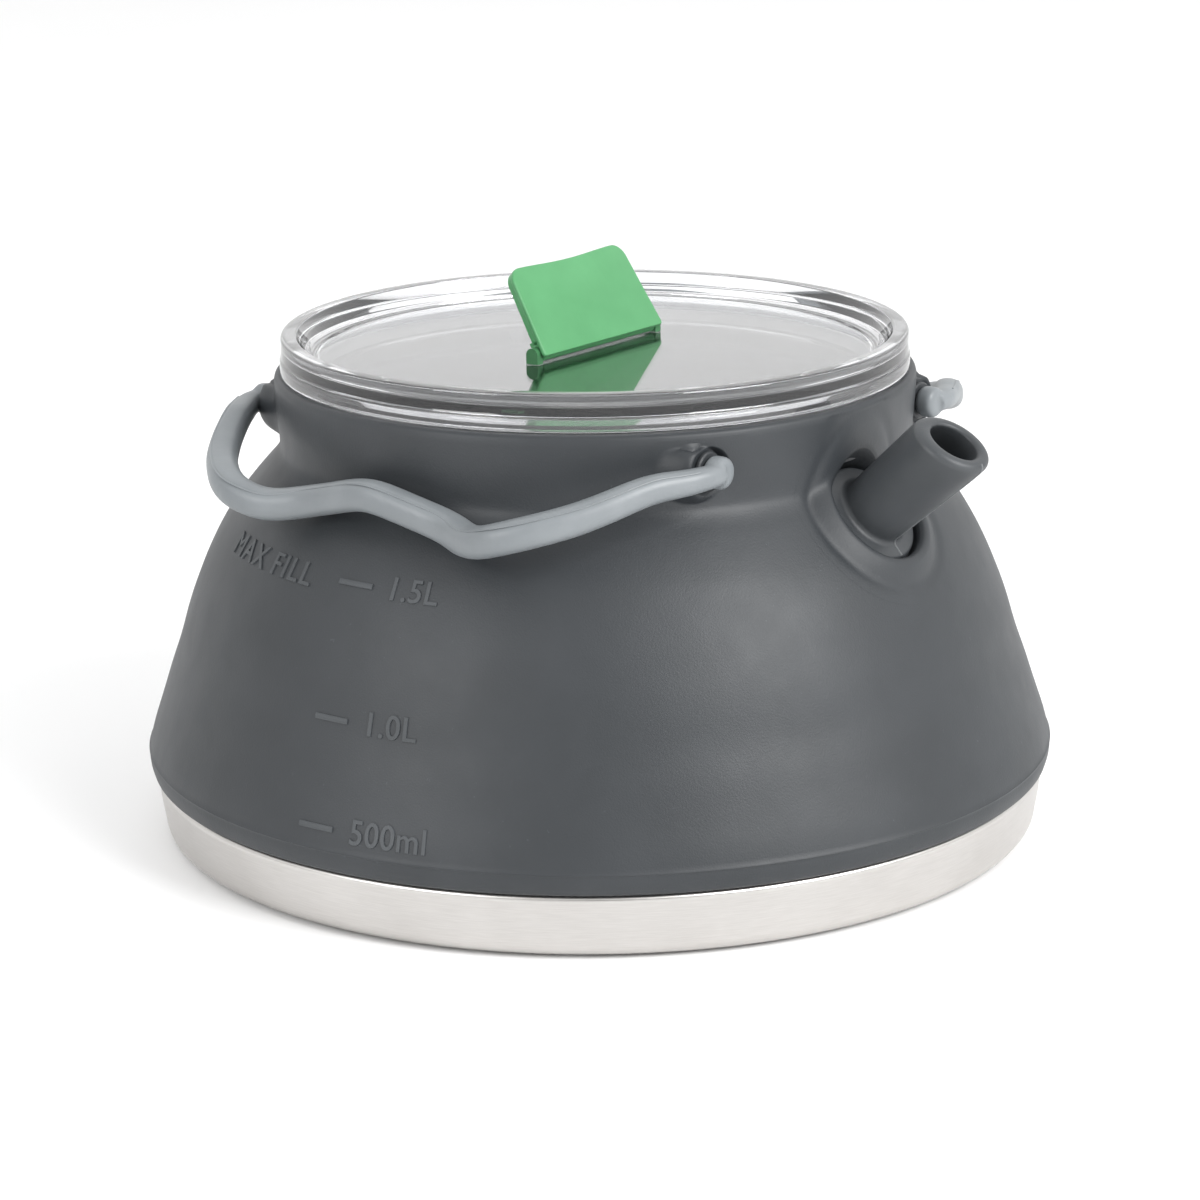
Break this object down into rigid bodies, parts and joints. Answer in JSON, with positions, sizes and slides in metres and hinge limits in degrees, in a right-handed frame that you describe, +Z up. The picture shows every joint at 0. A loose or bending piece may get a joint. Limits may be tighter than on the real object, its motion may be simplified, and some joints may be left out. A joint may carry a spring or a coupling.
{
  "type": "collapsible kettle",
  "caption": "Camping kettle with a steel pan, a folding silicone wall, a short angled spout, a clear lid with a folding tab and side handles that swing up.",
  "frame": {"origin": "centre of the pan's underside, on the surface that the kettle stands on", "axes": "+Z up along the kettle's round axis, +X towards the spout, so the handles swing about lines parallel to X"},
  "size_m": [0.1878, 0.1878, 0.1166],
  "materials": {
    "pan_steel": "satin, brushed in rings",
    "wall_silicone": "matte moulded silicone",
    "seal_silicone": "matte",
    "ring_nylon": "matte moulded nylon",
    "spout_nylon": "fine satin",
    "handle_nylon": "satin moulded nylon",
    "lid_clear": "clear glossy plastic",
    "tab_plastic": "semi-gloss moulded plastic",
    "pin_steel": "drawn wire"
  },
  "bodies": {
    "base": {"base_pan": "pan_steel", "lower_wall": "wall_silicone", "fold_wall": "wall_silicone"},
    "neck": {"upper_wall": "wall_silicone", "mouth_ring": "ring_nylon", "hinge_bush_front_right": "ring_nylon", "hinge_bush_front_left": "ring_nylon", "hinge_bush_rear_right": "ring_nylon", "hinge_bush_rear_left": "ring_nylon", "spout": "spout_nylon", "spout_washer": "seal_silicone", "spout_nut": "ring_nylon"},
    "right_handle": {"handle_right": "handle_nylon"},
    "left_handle": {"handle_left": "handle_nylon"},
    "lid_part": {"lid": "lid_clear", "lid_gasket": "seal_silicone", "tab_pin": "pin_steel"},
    "tab_part": {"lid_tab": "tab_plastic"}
  },
  "joints": [
    {"name": "collapse", "type": "slide", "parent": "base", "child": "neck", "axis": [0, 0, -1], "range_m": [0, 0.042], "deforming": ["fold_wall"]},
    {"name": "right_handle_swing", "type": "hinge", "parent": "neck", "child": "right_handle", "pos_m": [0, -0.037, 0.0875], "axis": [-1, 0, 0], "range_deg": [0, 65]},
    {"name": "left_handle_swing", "type": "hinge", "parent": "neck", "child": "left_handle", "pos_m": [0, 0.037, 0.0875], "axis": [1, 0, 0], "range_deg": [0, 65]},
    {"name": "lid_lift", "type": "slide", "parent": "neck", "child": "lid_part", "axis": [0, 0, 1], "range_m": [0, 0.006]},
    {"name": "tab_fold", "type": "hinge", "parent": "lid_part", "child": "tab_part", "pos_m": [0, 0, 0.1004], "axis": [0, -1, 0], "range_deg": [-32, 58]}
  ]
}
